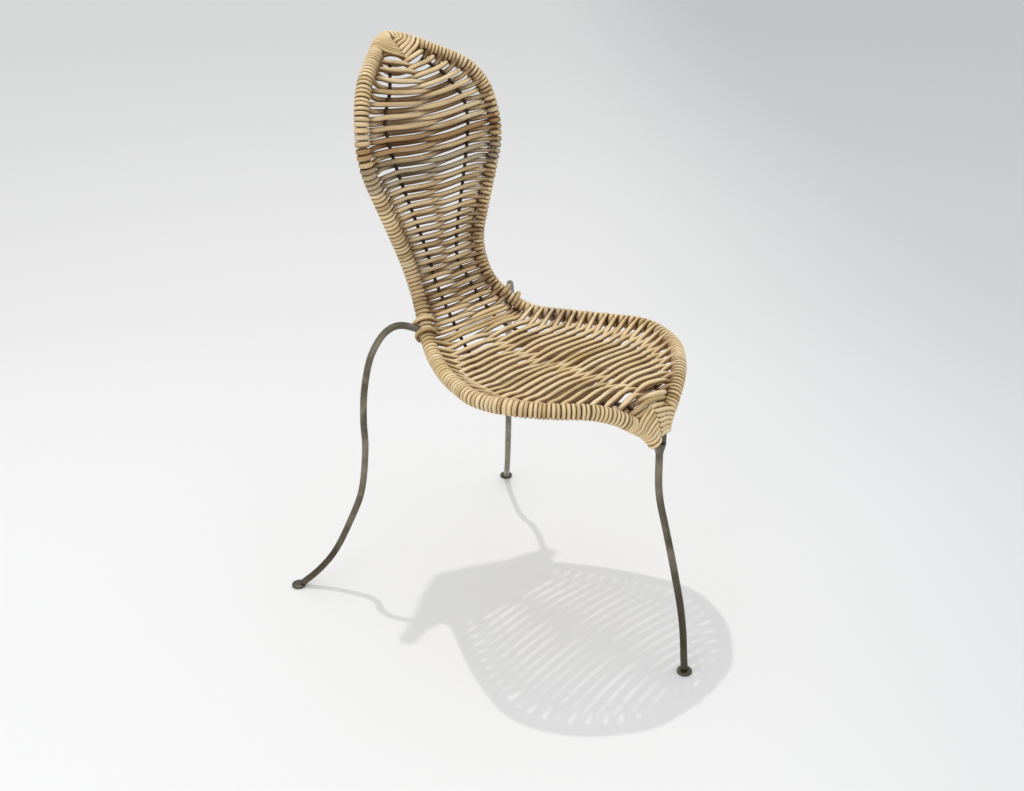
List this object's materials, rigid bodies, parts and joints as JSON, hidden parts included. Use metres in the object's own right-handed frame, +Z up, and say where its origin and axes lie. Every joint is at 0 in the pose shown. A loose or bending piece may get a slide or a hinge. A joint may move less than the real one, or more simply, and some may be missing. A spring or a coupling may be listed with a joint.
{
  "type": "woven side chair",
  "caption": "Hourglass-shaped side chair on three bent steel legs, its steel rails bound with cane and its seat and back woven from cane over thin stakes",
  "frame": {"origin": "on the floor, under the middle of the chair's box", "axes": "+Z up; the chair faces -Y; X = 0 is the frame's plane of symmetry"},
  "size_m": [0.5816, 0.6969, 0.9569],
  "materials": {
    "frame_steel": "dull dark patina",
    "stake_steel": "dull dark brown",
    "coil_cane": "peeled cane, satin",
    "woven_cane": "peeled cane, satin"
  },
  "bodies": {
    "root": {"left_side_rail": "frame_steel", "right_side_rail": "frame_steel", "left_rear_leg": "frame_steel", "right_rear_leg": "frame_steel", "left_stake": "stake_steel", "right_stake": "stake_steel", "left_rear_foot": "frame_steel", "right_rear_foot": "frame_steel", "left_seat_coil": "coil_cane", "right_seat_coil": "coil_cane", "left_back_coil": "coil_cane", "right_back_coil": "coil_cane", "left_leg_lashing": "coil_cane", "right_leg_lashing": "coil_cane", "left_front_chevron": "woven_cane", "right_front_chevron": "woven_cane", "left_top_chevron": "woven_cane", "right_top_chevron": "woven_cane", "front_leg": "frame_steel", "waist_crossbar": "frame_steel", "front_foot": "frame_steel", "seat_front_canes_over_left": "woven_cane", "seat_front_canes_over_right": "woven_cane", "seat_middle_canes_over_left": "woven_cane", "seat_middle_canes_over_right": "woven_cane", "seat_rear_canes_over_left": "woven_cane", "seat_rear_canes_over_right": "woven_cane", "back_waist_canes_over_left": "woven_cane", "back_waist_canes_over_right": "woven_cane", "back_middle_canes_over_left": "woven_cane", "back_middle_canes_over_right": "woven_cane", "back_upper_canes_over_left": "woven_cane", "back_upper_canes_over_right": "woven_cane"}
  },
  "joints": []
}
